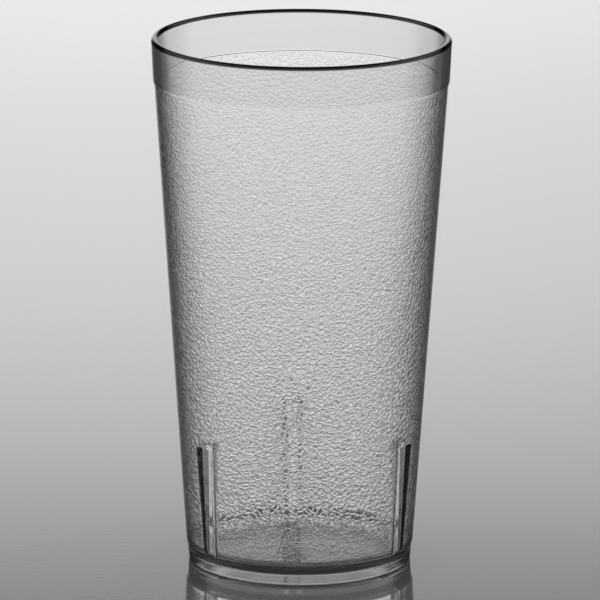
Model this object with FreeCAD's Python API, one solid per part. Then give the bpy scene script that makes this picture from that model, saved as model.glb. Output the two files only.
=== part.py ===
import FreeCAD, Part
import os
from math import radians, sqrt, tan

# A stacking drinks tumbler, moulded in one piece of clear plastic. Millimetres.
# It stands on z = 0 with its axis on Z, and its front faces -Y.

# Overall size
height = 155.5
rim_radius = 43.5        # outside of the lip

# Walls: the inside is one straight taper from the lip to the base
wall = 2.0               # body wall at the top of the foot
lip_wall = 2.1           # wall at the lip, which is rounded over its whole thickness
base_thickness = 1.8
floor_fillet = 2.2       # between the inside wall and the inside floor

# Smooth band under the lip, which stands proud of the grained body
band_height = 12.4
band_flare = 0.52        # how far the lip reaches out past the band's lower edge
band_step = 0.36         # how far the band stands proud of the body
band_step_rise = 0.5     # height of the sloped shoulder under the band

# Grained body, straight and tapered, down to the foot
base_radius = 33.24      # outside of the body at its lower edge

# Smooth foot ring, set in from the body, with a hollow underside
foot_height = 6.0
foot_step = 0.3          # how far the ring is set in
foot_step_rise = 0.3     # height of the sloped shoulder over the ring
foot_corner = 1.2        # rounding of the ring's outer lower corner
foot_width = 2.4
foot_edge = 0.4          # rounding of the ring's inner lower edge
recess_depth = 3.4       # hollow under the base
recess_corner = 0.8      # rounding between the ring's inside and the underside

# Stacking lugs: a smooth flute outside each, and a rib inside with a flat ledge on top,
# on which the foot of the next cup rests
lug_turns = (-52.0, 60.0, 184.0)   # degrees from the front, towards +X
lug_top = 38.2           # flat top of the flute
ledge_thickness = 1.4    # from the top of the flute to the ledge
flute_top_depth = 1.5    # depth of the flute at its top
flute_low_depth = 0.3    # depth of the flute at the foot ring
flute_floor = 3.8        # width of the flute's flat floor
flute_spread = 48.0      # degrees between the flute's sides and its depth
rib_radius = 30.4        # from the axis to the rib's face
rib_face = 3.2           # width of the rib's face
rib_spread = 25.0        # degrees between the rib's sides and its depth
lug_corner = 0.5         # rounding of the upright corners

# Levels and radii that follow from the sizes above
lip_round = lip_wall / 2
lip_level = height - lip_round
band_level = height - band_height
body_top_level = band_level - band_step_rise
foot_level = foot_height - foot_step_rise
floor_level = recess_depth + base_thickness

band_radius = rim_radius - band_flare
body_top_radius = band_radius - band_step
taper = (body_top_radius - base_radius) / (body_top_level - foot_height)

inside_base_radius = base_radius - wall
inside_taper = (rim_radius - lip_wall - inside_base_radius) / (lip_level - foot_height)


def body_radius(level):
    """Outside radius of the body's taper, carried on past its ends."""
    return base_radius + taper * (level - foot_height)


def foot_radius(level):
    """Outside radius of the foot ring, parallel to the body."""
    return body_radius(level) - foot_step


def inside_radius(level):
    """Radius of the inside taper."""
    return inside_base_radius + inside_taper * (level - foot_height)


def point(radius, level):
    return FreeCAD.Vector(radius, 0, level)


def line(start, end):
    return Part.LineSegment(start, end).toShape()


def arc(centre, radius, start, middle, end):
    """Arc about a centre, through three directions that are given as pairs."""
    places = []
    for across, up in (start, middle, end):
        scale = radius / sqrt(across * across + up * up)
        places.append(centre + FreeCAD.Vector(across * scale, 0, up * scale))
    return Part.Arc(*places).toShape()


def flat_corner_centre(taper_radius, slope, level, radius):
    """Centre of a rounding between a flat at a level and a taper that rises from it."""
    centre_level = level + radius
    reach = radius * sqrt(1 + slope * slope)
    return point(taper_radius(centre_level) - reach, centre_level)


def wall_section():
    """Closed half section of the cup: underside, foot, body, band, lip, inside wall and floor."""
    foot_centre = flat_corner_centre(foot_radius, taper, 0, foot_corner)
    floor_centre = flat_corner_centre(inside_radius, inside_taper, floor_level, floor_fillet)
    lip_centre = point(rim_radius - lip_round, lip_level)
    ring_inside = foot_radius(0) - foot_width
    edge_centre = point(ring_inside + foot_edge, foot_edge)
    recess_centre = point(ring_inside - recess_corner, recess_depth - recess_corner)

    foot_round = arc(foot_centre, foot_corner, (0, -1), (1, -1), (1, -taper))
    lip = arc(lip_centre, lip_round, (1, 0), (0, 1), (-1, 0))
    floor_round = arc(floor_centre, floor_fillet, (1, -inside_taper), (1, -1), (0, -1))
    edge_round = arc(edge_centre, foot_edge, (-1, 0), (-1, -1), (0, -1))
    recess_round = arc(recess_centre, recess_corner, (0, 1), (1, 1), (1, 0))

    shoulder = [
        foot_round.lastVertex().Point,
        point(foot_radius(foot_level), foot_level),
        point(base_radius, foot_height),
        point(body_top_radius, body_top_level),
        point(band_radius, band_level),
        lip.firstVertex().Point,
    ]
    edges = [
        line(point(0, recess_depth), recess_round.firstVertex().Point),
        recess_round,
        line(recess_round.lastVertex().Point, edge_round.firstVertex().Point),
        edge_round,
        line(edge_round.lastVertex().Point, foot_round.firstVertex().Point),
        foot_round,
    ]
    for start, end in zip(shoulder, shoulder[1:]):
        edges.append(line(start, end))
    edges += [
        lip,
        line(lip.lastVertex().Point, floor_round.firstVertex().Point),
        floor_round,
        line(floor_round.lastVertex().Point, point(0, floor_level)),
        line(point(0, floor_level), point(0, recess_depth)),
    ]
    return Part.Face(Part.Wire(edges))


def upright_bar(face_radius, half_width, spread, depth, rise):
    """Bar from the table up along a line of rise, with a flat face towards the axis and sides
    that spread outwards."""
    widening = depth * tan(radians(spread))
    outline = Part.makePolygon([
        FreeCAD.Vector(face_radius, -half_width, 0),
        FreeCAD.Vector(face_radius, half_width, 0),
        FreeCAD.Vector(face_radius + depth, half_width + widening, 0),
        FreeCAD.Vector(face_radius + depth, -half_width - widening, 0),
        FreeCAD.Vector(face_radius, -half_width, 0),
    ])
    bar = Part.Face(outline).extrude(rise)
    face_middle = face_radius + rise.x / 2
    corners = []
    for edge in bar.Edges:
        middle = edge.CenterOfMass
        if abs(middle.z - rise.z / 2) < rise.z / 4 and abs(middle.x - face_middle) < depth / 2:
            corners.append(edge)
    return bar.makeFillet(lug_corner, corners)


def turned(shape, turn):
    """Copy of a shape drawn along +X, turned about the axis from the front."""
    copy = shape.copy()
    copy.rotate(FreeCAD.Vector(0, 0, 0), FreeCAD.Vector(0, 0, 1), turn - 90)
    return copy


flute_top_radius = body_radius(lug_top) - flute_top_depth
flute_low_radius = base_radius - flute_low_depth
flute_taper = (flute_top_radius - flute_low_radius) / (lug_top - foot_height)
ledge_level = lug_top + ledge_thickness


def flute_bar():
    """What the flute takes away: it reaches right out through the body's wall."""
    table_radius = flute_low_radius - flute_taper * foot_height
    depth = body_radius(lug_top) + wall - table_radius
    rise = FreeCAD.Vector(flute_taper * lug_top, 0, lug_top)
    return upright_bar(table_radius, flute_floor / 2, flute_spread, depth, rise)


def rib_bar():
    """What the rib adds behind the flute, up to the ledge. Its back and its lower end lie halfway
    through the wall and the base."""
    depth = inside_radius(ledge_level) + wall - rib_radius
    rise = FreeCAD.Vector(0, 0, ledge_level)
    bar = upright_bar(rib_radius, rib_face / 2, rib_spread, depth, rise)
    lower = floor_level - base_thickness / 2
    core = Part.makeCone(
        inside_radius(lower) + wall / 2,
        inside_radius(ledge_level) + wall / 2,
        ledge_level - lower,
        point(0, lower),
    )
    return bar.common(core)


def tumbler():
    """The turned cup with its three ribs added inside and its three flutes cut outside."""
    cup = wall_section().revolve(FreeCAD.Vector(0, 0, 0), FreeCAD.Vector(0, 0, 1), 360)
    ribs = [turned(rib_bar(), turn) for turn in lug_turns]
    flutes = [turned(flute_bar(), turn) for turn in lug_turns]
    return cup.fuse(ribs).cut(flutes)


os.makedirs("parts", exist_ok=True)
tumbler().exportStep("parts/tumbler.step")
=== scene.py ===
from math import cos, pi, radians, sin, sqrt

import bpy
import numpy as np
from mathutils import Matrix, Vector


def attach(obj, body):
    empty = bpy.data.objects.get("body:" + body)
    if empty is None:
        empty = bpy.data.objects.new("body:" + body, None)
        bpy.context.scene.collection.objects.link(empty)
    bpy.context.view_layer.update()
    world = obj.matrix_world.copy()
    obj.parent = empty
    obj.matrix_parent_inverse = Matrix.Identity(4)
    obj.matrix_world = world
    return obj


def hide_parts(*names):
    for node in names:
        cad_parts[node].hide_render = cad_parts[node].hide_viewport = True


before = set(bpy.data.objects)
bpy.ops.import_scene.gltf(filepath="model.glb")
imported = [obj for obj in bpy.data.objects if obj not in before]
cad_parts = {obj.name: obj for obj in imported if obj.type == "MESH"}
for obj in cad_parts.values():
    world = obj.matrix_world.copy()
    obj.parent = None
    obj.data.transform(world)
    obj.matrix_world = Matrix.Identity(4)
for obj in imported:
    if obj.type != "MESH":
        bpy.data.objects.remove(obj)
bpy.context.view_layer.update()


# The camera stands about 1.9 m in front of the cup, 13.7 degrees above level, with a long lens,
# and leans by a quarter of a degree, as the photograph's camera does.
camera_distance = 1.9062
camera_rise = 0.2392
camera_centre = Vector((0, 0, 0.077))
camera_aim = Vector((-0.000156, 0, 0.07746))
camera_lean = 0.0040
focal_pixels = 6542
picture_pixels = 600
sensor_width = 36

lens = bpy.data.cameras.new("camera")
lens.sensor_width = sensor_width
lens.lens = focal_pixels * sensor_width / picture_pixels
lens.clip_end = 200
camera = bpy.data.objects.new("camera", lens)
bpy.context.collection.objects.link(camera)
stand = camera_centre + camera_distance * Vector((0, -cos(camera_rise), sin(camera_rise)))
aim = (camera_aim - stand).to_track_quat("-Z", "Y").to_matrix().to_4x4()
camera.matrix_world = Matrix.Translation(stand) @ aim @ Matrix.Rotation(camera_lean, 4, "Z")
bpy.context.scene.camera = camera
bpy.context.scene.view_settings.view_transform = "Standard"


# The tumbler's wall, moulded in one shot of clear styrene plastic. Its half outline runs from the
# middle of the underside round the foot, up the body, over the lip and down to the inside floor.
# The last number of each run or arc in it is its count of segments.
mm = 0.001
height = 155.5 * mm
rim_radius = 43.5 * mm
wall = 2.0 * mm
lip_wall = 2.1 * mm
base_thickness = 1.8 * mm
floor_fillet = 2.2 * mm
band_height = 12.4 * mm
band_flare = 0.52 * mm
band_step = 0.36 * mm
band_step_rise = 0.25 * mm
base_radius = 33.24 * mm
foot_height = 6.0 * mm
foot_step = 0.3 * mm
foot_step_rise = 0.3 * mm
foot_corner = 1.2 * mm
foot_width = 2.4 * mm
foot_edge = 0.4 * mm
recess_depth = 3.4 * mm
recess_round = 0.8 * mm
lug_top = 38.2 * mm
ledge_thickness = 1.4 * mm
edge_rounding = 0.1 * mm
edge_most = 0.2
body_rows = 163
lip_segments = 14
flute_roof_levels = np.array([0, 0.06, 0.13, 0.2, 0.27, 0.36, 0.48]) * mm
ledge_edge = 0.02 * mm

lip_round = lip_wall / 2
lip_level = height - lip_round
band_level = height - band_height
body_top_level = band_level - band_step_rise
foot_level = foot_height - foot_step_rise
floor_level = recess_depth + base_thickness
ledge_level = lug_top + ledge_thickness
band_radius = rim_radius - band_flare
body_top_radius = band_radius - band_step
taper = (body_top_radius - base_radius) / (body_top_level - foot_height)
inside_base_radius = base_radius - wall
inside_taper = (rim_radius - lip_wall - inside_base_radius) / (lip_level - foot_height)


def straight(start, end, shares):
    """Points on a line: the start plus each share of the way to the end."""
    shares = np.asarray(shares)[:, None]
    return np.array(start) * (1 - shares) + np.array(end) * shares


def arc(centre, radius, first, last, segments):
    """Points on an arc: the centre plus the radius times the cosine and sine of each angle."""
    angles = np.radians(np.linspace(first, last, segments + 1))
    return np.array(centre) + radius * np.stack([np.cos(angles), np.sin(angles)], axis=-1)


def crisp(start, end, segments):
    """Points on a line, with two close together inside each end, so that the corners stay crisp.
    A close point lies the edge rounding from the one before, or a fifth of a short line."""
    reach = min(edge_rounding / np.hypot(end[0] - start[0], end[1] - start[1]), edge_most)
    shares = np.linspace(0, 1, segments + 1)[1:-1].clip(3 * reach, 1 - 3 * reach)
    return straight(start, end, np.unique([reach, 2 * reach, 1 - 2 * reach, 1 - reach, *shares]))


def rounding_centre(radius_at_base, slope, level, radius):
    """Centre of the rounding between a level and a tapered wall: one radius above the level, and
    in from the wall by the radius times the wall's length per unit of height."""
    centre_level = level + radius
    at_wall = radius_at_base + slope * (centre_level - foot_height)
    return (at_wall - radius * sqrt(1 + slope * slope), centre_level)


lean = np.degrees(np.arctan(taper))
inside_lean = np.degrees(np.arctan(inside_taper))
foot_base_radius = base_radius - foot_step
foot_centre = rounding_centre(foot_base_radius, taper, 0, foot_corner)
floor_centre = rounding_centre(inside_base_radius, inside_taper, floor_level, floor_fillet)
ring_inside = foot_base_radius - taper * foot_height - foot_width
recess_level = recess_depth - recess_round
foot_top_radius = foot_base_radius + taper * (foot_level - foot_height)
inside_ledge_radius = inside_base_radius + inside_taper * (ledge_level - foot_height)

foot_arc = arc(foot_centre, foot_corner, -90, -lean, 8)
floor_arc = arc(floor_centre, floor_fillet, -inside_lean, -90, 10)
body_start = (base_radius, foot_height)
body_end = (body_top_radius, body_top_level)
flute_top = (base_radius + taper * (lug_top - foot_height), lug_top)
ledge = (inside_ledge_radius, ledge_level)
lip_inside = (rim_radius - lip_wall, lip_level)
split = round(body_rows * (lug_top - foot_height) / (body_top_level - foot_height))
low_body = crisp(body_start, flute_top, split)
high_body = crisp(flute_top, body_end, body_rows - split)[2:]
outline = np.concatenate([
    straight((0, recess_depth), (ring_inside - recess_round, recess_depth), [0.3, 0.7, 0.97]),
    arc((ring_inside - recess_round, recess_level), recess_round, 90, 0, 6),
    arc((ring_inside + foot_edge, foot_edge), foot_edge, 180, 270, 4),
    foot_arc,
    crisp(foot_arc[-1], (foot_top_radius, foot_level), 2)[1:],
    crisp((foot_top_radius, foot_level), body_start, 1),
    low_body[:-1],
    straight(flute_top, body_end, flute_roof_levels / (body_top_level - lug_top)),
    high_body,
    crisp(body_end, (band_radius, band_level), 1),
    crisp((band_radius, band_level), (rim_radius, lip_level), 3)[:-1],
    arc((rim_radius - lip_round, lip_level), lip_round, 0, 180, lip_segments),
    crisp(lip_inside, ledge, 14)[1:],
    [np.array(ledge) + (0, ledge_edge), ledge],
    crisp(ledge, floor_arc[0], 9)[:-1],
    floor_arc,
    straight((floor_centre[0], floor_level), (0, floor_level), [0.04, 0.3, 0.7]),
])
outline_radius, outline_level = outline[:, :1], outline[:, 1:]
top_row = int(np.argmax(outline[:, 1]))
row_number = np.arange(len(outline))[:, None]
over_lip = np.clip((row_number - top_row) / lip_segments + 0.5, 0, 1)


# The three stacking lugs, moulded with the wall. Each is a polished flute in the outside, with a
# flat top, a flat floor and spread sides, and a rib behind it, whose flat top is the ledge that the
# next cup's foot rests on. The mesh has columns of points along the flute's and rib's corners.
lug_turns = np.radians([-52.0, 60.0, 184.0])
flute_half = 1.9 * mm
flute_spread = radians(48.0)
flute_top_depth = 1.5 * mm
flute_low_depth = 0.3 * mm
rib_radius = 30.4 * mm
rib_half = 1.6 * mm
rib_spread = radians(25.0)
lug_crease = 0.12 * mm
flute_roof = 6.0
flute_rounding = 0.25 * mm
rib_rounding = 0.5 * mm
lug_reach = radians(12.5)
column_pitch = radians(1.09)
least_side = radians(0.12)
steepest = radians(89)
corner_limits = radians(0.5), radians(8)
reach_limits = radians(0.4), radians(9)


def between_levels(low, top):
    """A straight run from the low value at the foot to the top value at the flute's top."""
    return low + (top - low) * (outline_level - foot_height) / (lug_top - foot_height)


def side_distance(face_radius, half_width, spread):
    """Distance from the axis to the straight line of a lug's spread side."""
    return face_radius * sin(spread) - half_width * cos(spread)


def side_reach(face_radius, half_width, spread, radius):
    """Turn at which a lug's spread side comes out at a radius. The side's distance from the axis
    over that radius is the cosine of the turn plus a right angle less the spread."""
    distance = side_distance(face_radius, half_width, spread)
    least = np.arctan(half_width / face_radius) + least_side
    turn = np.arccos(np.clip(distance / np.maximum(radius, distance), 0, 1))
    return np.maximum(turn - (pi / 2 - spread), least)


def lug_surface(face_radius, half_width, spread, turn):
    """Radius of a flute's or a rib's faces: the greater of the radius of its flat face, which is
    its distance over the cosine of the turn, and that of its side, with a small crease between."""
    flat = face_radius / np.cos(turn)
    distance = side_distance(face_radius, half_width, spread)
    side = distance / np.cos(np.clip(np.abs(turn) + pi / 2 - spread, 0, steepest))
    return (flat + side + np.hypot(flat - side, lug_crease)) / 2


flute_face = between_levels(base_radius - flute_low_depth, flute_top[0] - flute_top_depth)
rib_face = rib_radius + 0 * outline_level
outer_radius = np.minimum(outline_radius, flute_top[0])
inner_radius = np.minimum(outline_radius, inside_ledge_radius)
outer_reach = side_reach(flute_face, flute_half, flute_spread, outer_radius)
top_reach = outer_reach[np.abs(outline_level - lug_top).argmin()]
outer_reach = np.where(outline_level > lug_top, top_reach, outer_reach)
inner_reach = side_reach(rib_face, rib_half, rib_spread, inner_radius)
outer_corner, inner_corner = np.arctan(flute_half / flute_face), np.arctan(rib_half / rib_face)
corner_turn = outer_corner * (1 - over_lip) + inner_corner * over_lip
reach_turn = outer_reach * (1 - over_lip) + inner_reach * over_lip
corner_turn = np.clip(corner_turn, *corner_limits)
reach_turn = np.clip(reach_turn, corner_turn + reach_limits[0], reach_limits[1])

face_shares = [0, 0.25, 0.5, 0.75]
side_shares = [0, 0.2, 0.45, 0.7, 0.88]
skirt_shares = [0, 0.05, 0.12, 0.22, 0.36, 0.52, 0.68, 0.84]
knots = [0 * corner_turn, corner_turn, reach_turn, lug_reach + 0 * corner_turn]
half_lug = np.hstack([
    low + np.array(shares) * (high - low)
    for low, high, shares in zip(knots, knots[1:], [face_shares, side_shares, skirt_shares])
])
one_lug = np.hstack([-half_lug[:, :0:-1], half_lug])
columns = []
for number, lug_turn in enumerate(lug_turns):
    next_turn = np.append(lug_turns, lug_turns[0] + 2 * pi)[number + 1]
    gap = next_turn - lug_turn - 2 * lug_reach
    between = lug_turn + lug_reach + np.linspace(0, gap, round(gap / column_pitch) + 1)
    columns += [lug_turn + one_lug, between[None, :] + 0 * corner_turn]
turn = np.hstack(columns)


def from_lug(turn):
    """Turn measured from the nearest lug's middle, wrapped to half a revolution each way."""
    apart = (turn[..., None] - lug_turns + pi) % (2 * pi) - pi
    nearest = np.abs(apart).argmin(axis=-1)[..., None]
    return np.take_along_axis(apart, nearest, axis=-1)[..., 0]


# The pebble grain. The mould is etched, so the body between the foot and the band is covered with
# low pebbles about 2 mm across, parted by creases. The grain is softer towards the foot and the
# band, and the flutes, foot and band are polished.
pebble_size = 2.0 * mm
pebble_depth = 0.03 * mm
pebbles_around = 118
pebble_scatter = 0.42
pebble_edge = 0.45
far_off = 9.0
grain_margin = 0.5 * mm
grain_over_lugs = 0.4 * mm
high_softer = 0.55
high_start = 40 * mm
high_rise = 100 * mm
low_softer = 0.6
low_rise = 16 * mm

chance = np.random.default_rng(7)
pebbles_up = int((body_top_level - foot_height) / pebble_size) + 6
scatter_around, scatter_up = chance.uniform(-1, 1, (2, pebbles_up, pebbles_around)) * pebble_scatter


def pebbles(around, up):
    """Height of the grain, from 0 in a crease to 1 on a pebble. Around and up are counted in
    pebbles. Each pebble's middle is scattered about its place, and the height grows with the
    difference between the distances to the nearest middle and the next nearest one."""
    nearest = np.full(around.shape, far_off)
    second = np.full(around.shape, far_off)
    column, row = np.floor(around).astype(int), np.floor(up).astype(int)
    for step_up in (-2, -1, 0, 1, 2):
        for step_around in (-2, -1, 0, 1, 2):
            i, j = column + step_around, row + step_up
            pebble = np.clip(j + 2, 0, pebbles_up - 1), i % pebbles_around
            x = i + 0.5 + 0.5 * (j % 2) + scatter_around[pebble]
            y = j + 0.5 + scatter_up[pebble]
            away = np.hypot(around - x, up - y)
            second = np.minimum(second, np.maximum(nearest, away))
            nearest = np.minimum(nearest, away)
    rise = np.clip((second - nearest) / pebble_edge, 0, 1)
    return rise * (2 - rise)


def smooth_step(value):
    """Three squares less two cubes of the value, held between 0 and 1."""
    value = np.clip(value, 0, 1)
    return value * value * (3 - 2 * value)


def rounded_least(first, second, rounding):
    """The lesser of two radii with the edge between them rounded, and the first where the second
    is far beyond it."""
    apart = np.abs(first - second)
    return np.minimum(first, second) - np.maximum(rounding - apart, 0) ** 2 / (4 * rounding)


lug_side = from_lug(turn)
outside = row_number < top_row
above_foot = outline_level - foot_height
grained = smooth_step(above_foot / grain_margin)
grained = grained * smooth_step((body_top_level - outline_level) / grain_margin) * outside
beside = (np.abs(lug_side) - reach_turn) * outline_radius
beside_lug = smooth_step(beside / grain_margin)
grained = grained * np.where(outline_level < lug_top + grain_over_lugs, beside_lug, 1)
grained = grained * (1 - high_softer * smooth_step((outline_level - high_start) / high_rise))
grained = grained * (1 - low_softer * (1 - smooth_step(above_foot / low_rise)))
around = turn / (2 * pi) * pebbles_around
up = above_foot / pebble_size + 0 * turn
dents = pebble_depth * (pebbles(around, up) - 1) * grained

radius = outline_radius + dents
flute = lug_surface(flute_face, flute_half, flute_spread, lug_side)
flute = flute + flute_roof * np.maximum(outline_level - lug_top, 0)
rib = lug_surface(rib_face, rib_half, rib_spread, lug_side)
near_flute = outside & (outline_level > foot_level)
below_ledge = ~outside & (outline_level <= ledge_level)
radius = np.where(near_flute, rounded_least(radius, flute, flute_rounding), radius)
radius = np.where(below_ledge, rounded_least(radius, rib, rib_rounding), radius)


# The tumbler's mesh. Each point of the outline is a ring of points round the axis. Rings are
# joined by four-sided faces, and the underside and the inside floor close on their middles.
sharp_angle = radians(35)

rows, around_count = radius.shape
vertices = np.stack([
    radius * np.sin(turn), -radius * np.cos(turn), outline_level + 0 * turn,
], axis=-1).reshape(-1, 3)
middles = np.array([[0, 0, recess_depth], [0, 0, floor_level]])
numbers = np.arange(rows * around_count).reshape(rows, around_count)
following = np.roll(numbers, -1, axis=1)
quads = np.stack([numbers[:-1], following[:-1], following[1:], numbers[1:]], axis=-1).reshape(-1, 4)
under, inside = rows * around_count, rows * around_count + 1
under_fan = np.stack([0 * numbers[0] + under, following[0], numbers[0]], axis=-1)
inside_fan = np.stack([0 * numbers[0] + inside, numbers[-1], following[-1]], axis=-1)
shell = bpy.data.meshes.new("plastic_tumbler")
shell.from_pydata(
    np.concatenate([vertices, middles]).tolist(), [],
    quads.tolist() + under_fan.tolist() + inside_fan.tolist(),
)
shell.polygons.foreach_set("use_smooth", np.ones(len(shell.polygons), dtype=bool))
shell.set_sharp_from_angle(angle=sharp_angle)


def mark(name, values):
    """Stores a value for each point of the mesh, for the material, with 0 at the two middles."""
    stored = shell.attributes.new(name, "FLOAT", "POINT")
    stored.data.foreach_set("value", np.append(values + 0 * turn, [0, 0]).astype(np.float32))


# The dark edges, painted shade. Light runs on inside the rounded lip and the shoulder over the foot
# ring, so they look black in clear plastic; here that black is painted. The ring and the hollow
# underside are painted a little darker, and the bottom of the foot darker still as a painted contact
# shadow. This mark tells the material where to darken.
lip_fade_degrees = 12
foot_line_low = 4.9 * mm
foot_line_high = 6.1 * mm
foot_line_fade = 0.15 * mm
# Painted shade on the foot ring and the hollow underside, and a painted contact shadow at the foot's
# bottom.
painted_foot_ring_shade = 0.25
foot_contact = 0.5 * mm
painted_contact_shade = 0.8

lip_turn = np.degrees(np.arctan2(outline_level - lip_level, outline_radius - rim_radius + lip_round))
on_lip = (outline_level > lip_level) * smooth_step((90 - np.abs(lip_turn - 90)) / lip_fade_degrees)
on_foot_step = smooth_step((outline_level - foot_line_low) / foot_line_fade) * outside
on_foot_step = on_foot_step * smooth_step((foot_line_high - outline_level) / foot_line_fade)
on_foot_ring = (outline_level < foot_line_low) * outside
on_contact = smooth_step((foot_contact - outline_level) / foot_contact) * outside
edges = np.maximum(np.maximum(on_lip, on_foot_step), painted_foot_ring_shade * on_foot_ring)
mark("edge", np.maximum(edges, painted_contact_shade * on_contact))
mark("grain", grained)
shell.update()
tumbler = bpy.data.objects.new("plastic_tumbler", shell)
bpy.context.collection.objects.link(tumbler)

# The clear plastic is faintly smoky. Its colour is painted darker where it is seen edge on, and near
# black on the marked edges: painted shade for the dark edges of the clear wall. The grain's finest
# creases, too fine for the mesh, are a bump on the grained body: the edges of small cells, bent
# by a noise. Lamps shine through it as through a smoky pane.
clear_colour = (0.96, 0.96, 0.96, 1)
edge_on_start = 0.6
edge_on_end = 0.85
edge_on_shade = 0.54
crease_spacing = 1.5 * mm
crease_width = 0.22
crease_depth = 0.04 * mm
bend_size = 2.5 * mm
bend_reach = 1.4 * mm
shade_through = 0.35
painted_edge_black = 0.004
plastic_index = 1.57
plastic_roughness = 0.03

plastic = bpy.data.materials.new("clear_plastic")
plastic.use_nodes = True
nodes, links = plastic.node_tree.nodes, plastic.node_tree.links
shader = nodes["Principled BSDF"]
shader.inputs["Transmission Weight"].default_value = 1
shader.inputs["IOR"].default_value = plastic_index
shader.inputs["Roughness"].default_value = plastic_roughness

place = nodes.new("ShaderNodeTexCoord")
wander = nodes.new("ShaderNodeTexNoise")
wander.inputs["Scale"].default_value = 1 / bend_size
wander.inputs["Detail"].default_value = 2
links.new(place.outputs["Object"], wander.inputs["Vector"])
shift = nodes.new("ShaderNodeVectorMath")
shift.operation = "MULTIPLY_ADD"
shift.inputs[1].default_value = (bend_reach,) * 3
links.new(wander.outputs["Color"], shift.inputs[0])
links.new(place.outputs["Object"], shift.inputs[2])
cells = nodes.new("ShaderNodeTexVoronoi")
cells.feature = "DISTANCE_TO_EDGE"
cells.inputs["Scale"].default_value = 1 / crease_spacing
links.new(shift.outputs[0], cells.inputs["Vector"])
creases = nodes.new("ShaderNodeMapRange")
creases.interpolation_type = "SMOOTHSTEP"
creases.inputs["From Max"].default_value = crease_width
links.new(cells.outputs["Distance"], creases.inputs["Value"])
where = nodes.new("ShaderNodeAttribute")
where.attribute_name = "grain"
etched = nodes.new("ShaderNodeMath")
etched.operation = "MULTIPLY"
links.new(creases.outputs["Result"], etched.inputs[0])
links.new(where.outputs["Fac"], etched.inputs[1])
bump = nodes.new("ShaderNodeBump")
bump.inputs["Distance"].default_value = crease_depth
links.new(etched.outputs[0], bump.inputs["Height"])
links.new(bump.outputs["Normal"], shader.inputs["Normal"])

# Painted shade: the colour darkens where the surface is seen edge on, for the dark edges of the
# clear wall.
facing = nodes.new("ShaderNodeLayerWeight")
facing.inputs["Blend"].default_value = 0.5
links.new(bump.outputs["Normal"], facing.inputs["Normal"])
edge_on = nodes.new("ShaderNodeMapRange")
edge_on.interpolation_type = "SMOOTHSTEP"
edge_on.inputs["From Min"].default_value = edge_on_start
edge_on.inputs["From Max"].default_value = edge_on_end
links.new(facing.outputs["Facing"], edge_on.inputs["Value"])
edge_on_painted_shade = nodes.new("ShaderNodeMix")
edge_on_painted_shade.data_type = "RGBA"
edge_on_painted_shade.inputs[6].default_value = clear_colour
edge_on_painted_shade.inputs[7].default_value = (edge_on_shade,) * 3 + (1,)
links.new(edge_on.outputs["Result"], edge_on_painted_shade.inputs["Factor"])
# Painted shade: the marked lip, foot line, foot ring and underside are painted dark, the foot's
# bottom as a painted contact shadow.
painted_edge_mark = nodes.new("ShaderNodeAttribute")
painted_edge_mark.attribute_name = "edge"
painted_edge_darkening = nodes.new("ShaderNodeMix")
painted_edge_darkening.data_type = "RGBA"
painted_edge_darkening.inputs[7].default_value = (painted_edge_black,) * 3 + (1,)
links.new(painted_edge_mark.outputs["Fac"], painted_edge_darkening.inputs["Factor"])
links.new(edge_on_painted_shade.outputs[2], painted_edge_darkening.inputs[6])
links.new(painted_edge_darkening.outputs[2], shader.inputs["Base Color"])

see_through = nodes.new("ShaderNodeBsdfTransparent")
see_through.inputs["Color"].default_value = (shade_through,) * 3 + (1,)
path = nodes.new("ShaderNodeLightPath")
shade = nodes.new("ShaderNodeMixShader")
links.new(path.outputs["Is Shadow Ray"], shade.inputs["Fac"])
links.new(shader.outputs["BSDF"], shade.inputs[1])
links.new(see_through.outputs["BSDF"], shade.inputs[2])
links.new(shade.outputs["Shader"], nodes["Material Output"].inputs["Surface"])
shell.materials.append(plastic)

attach(tumbler, "root")
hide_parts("tumbler")


# The floor is one flat sheet of satin metal in a plain pale grey that runs on to the horizon. It
# mirrors the ring of sky and the foot of the cup, and very low ripples soften what it mirrors.
floor_reach = 60
floor_colour = 0.75
floor_metal = 0.85
floor_index = 1.5
floor_roughness = 0.08
ripple_size = 1.6 * mm
ripple_depth = 0.004 * mm

ground = bpy.data.meshes.new("floor")
ground.from_pydata([
    (-floor_reach, -floor_reach, 0), (floor_reach, -floor_reach, 0),
    (floor_reach, floor_reach, 0), (-floor_reach, floor_reach, 0),
], [], [(0, 1, 2, 3)])
floor = bpy.data.objects.new("floor", ground)
bpy.context.collection.objects.link(floor)

satin = bpy.data.materials.new("satin_floor")
satin.use_nodes = True
nodes, links = satin.node_tree.nodes, satin.node_tree.links
floor_shader = nodes["Principled BSDF"]
floor_shader.inputs["Base Color"].default_value = (floor_colour,) * 3 + (1,)
floor_shader.inputs["Roughness"].default_value = floor_roughness
floor_shader.inputs["IOR"].default_value = floor_index
floor_shader.inputs["Metallic"].default_value = floor_metal
spot = nodes.new("ShaderNodeTexCoord")
ripple = nodes.new("ShaderNodeTexNoise")
ripple.inputs["Scale"].default_value = 1 / ripple_size
ripple.inputs["Detail"].default_value = 1
links.new(spot.outputs["Object"], ripple.inputs["Vector"])
ripple_bump = nodes.new("ShaderNodeBump")
ripple_bump.inputs["Distance"].default_value = ripple_depth
links.new(ripple.outputs["Fac"], ripple_bump.inputs["Height"])
links.new(ripple_bump.outputs["Normal"], floor_shader.inputs["Normal"])
ground.materials.append(satin)


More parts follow.
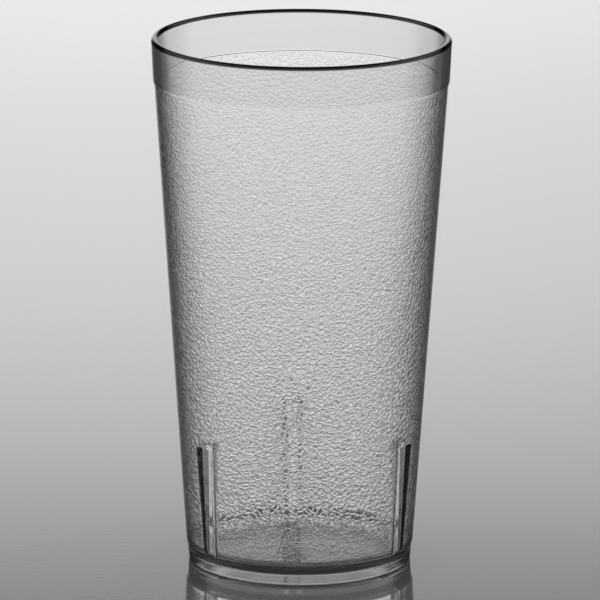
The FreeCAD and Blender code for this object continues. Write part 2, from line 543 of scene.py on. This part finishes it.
# The light is a weak broad lamp overhead and a studio of soft light painted on the sky. A low
# backdrop stands behind the cup, brightest at the horizon and dark from about 18 degrees up, and a
# low wall runs round from the sides to behind the camera. The dark gaps between the two draw the
# dark edges of the clear wall. Higher up, a grey wall keeps the floor pale in views from above.
# Levels are heights on a sphere of radius 1, and turns are degrees from the backdrop's middle.
sky_strength = 1.1
side_shade = 0.6
sky_levels = [
    (0, 1.0), (0.19, 1.0), (0.205, 0.82), (0.235, 0.73), (0.26, 0.52), (0.29, 0.13), (0.32, 0.01),
]
side_levels = [(0.33, 0), (0.38, side_shade), (0.7, side_shade), (0.85, 0)]
side_turns = [(30, 0), (36, 1)]
sky_turns = [
    (0, 1.0), (2.5, 0.985), (4.2, 0.945), (6.5, 0.91), (9.0, 0.8), (11.5, 0.55), (14.0, 0.25),
    (16.0, 0.08), (18.0, 0.02), (62, 0.02), (80, 1.0),
]
sky_offset = -1.8
lamp_strength = 1.2
lamp_spread = 1.2

sky = bpy.data.worlds.new("sky")
sky.use_nodes = True
bpy.context.scene.world = sky
nodes, links = sky.node_tree.nodes, sky.node_tree.links


def calculate(operation, first, second=0.0):
    """One Math node in the sky on sockets or numbers; gives its output."""
    node = nodes.new("ShaderNodeMath")
    node.operation = operation
    for socket, value in zip(node.inputs, (first, second)):
        if isinstance(value, float):
            socket.default_value = value
        else:
            links.new(value, socket)
    return node.outputs[0]


def shades_along(value, shades):
    """A grey that runs through the given shades in straight steps as the value grows."""
    node = nodes.new("ShaderNodeValToRGB")
    links.new(value, node.inputs["Fac"])
    stops = node.color_ramp.elements
    stops.remove(stops[-1])
    for number, (position, shade_there) in enumerate(shades):
        stop = stops.new(position) if number else stops[0]
        stop.position = position
        stop.color = (shade_there,) * 3 + (1,)
    return node.outputs["Color"]


towards = nodes.new("ShaderNodeTexCoord")
split_ways = nodes.new("ShaderNodeSeparateXYZ")
links.new(towards.outputs["Generated"], split_ways.inputs[0])
turn_away = calculate("ARCTAN2", split_ways.outputs["X"], split_ways.outputs["Y"])
turn_away = calculate("ABSOLUTE", calculate("SUBTRACT", turn_away, radians(sky_offset)))
half_turns = calculate("DIVIDE", turn_away, pi)


def painted(levels, turns):
    """A grey that is the shade at the level times the shade at the turn."""
    by_turn = [(turned_by / 180, shade_there) for turned_by, shade_there in turns]
    by_level = shades_along(split_ways.outputs["Z"], levels)
    return calculate("MULTIPLY", by_level, shades_along(half_turns, by_turn))


background = nodes["Background"]
background.inputs["Strength"].default_value = sky_strength
studio = calculate("ADD", painted(sky_levels, sky_turns), painted(side_levels, side_turns))
links.new(studio, background.inputs["Color"])

lamp = bpy.data.lights.new("soft_lamp", "SUN")
lamp.energy = lamp_strength
lamp.angle = lamp_spread
lamp_object = bpy.data.objects.new("soft_lamp", lamp)
lamp_object.visible_glossy = False
lamp_object.visible_transmission = False
bpy.context.collection.objects.link(lamp_object)
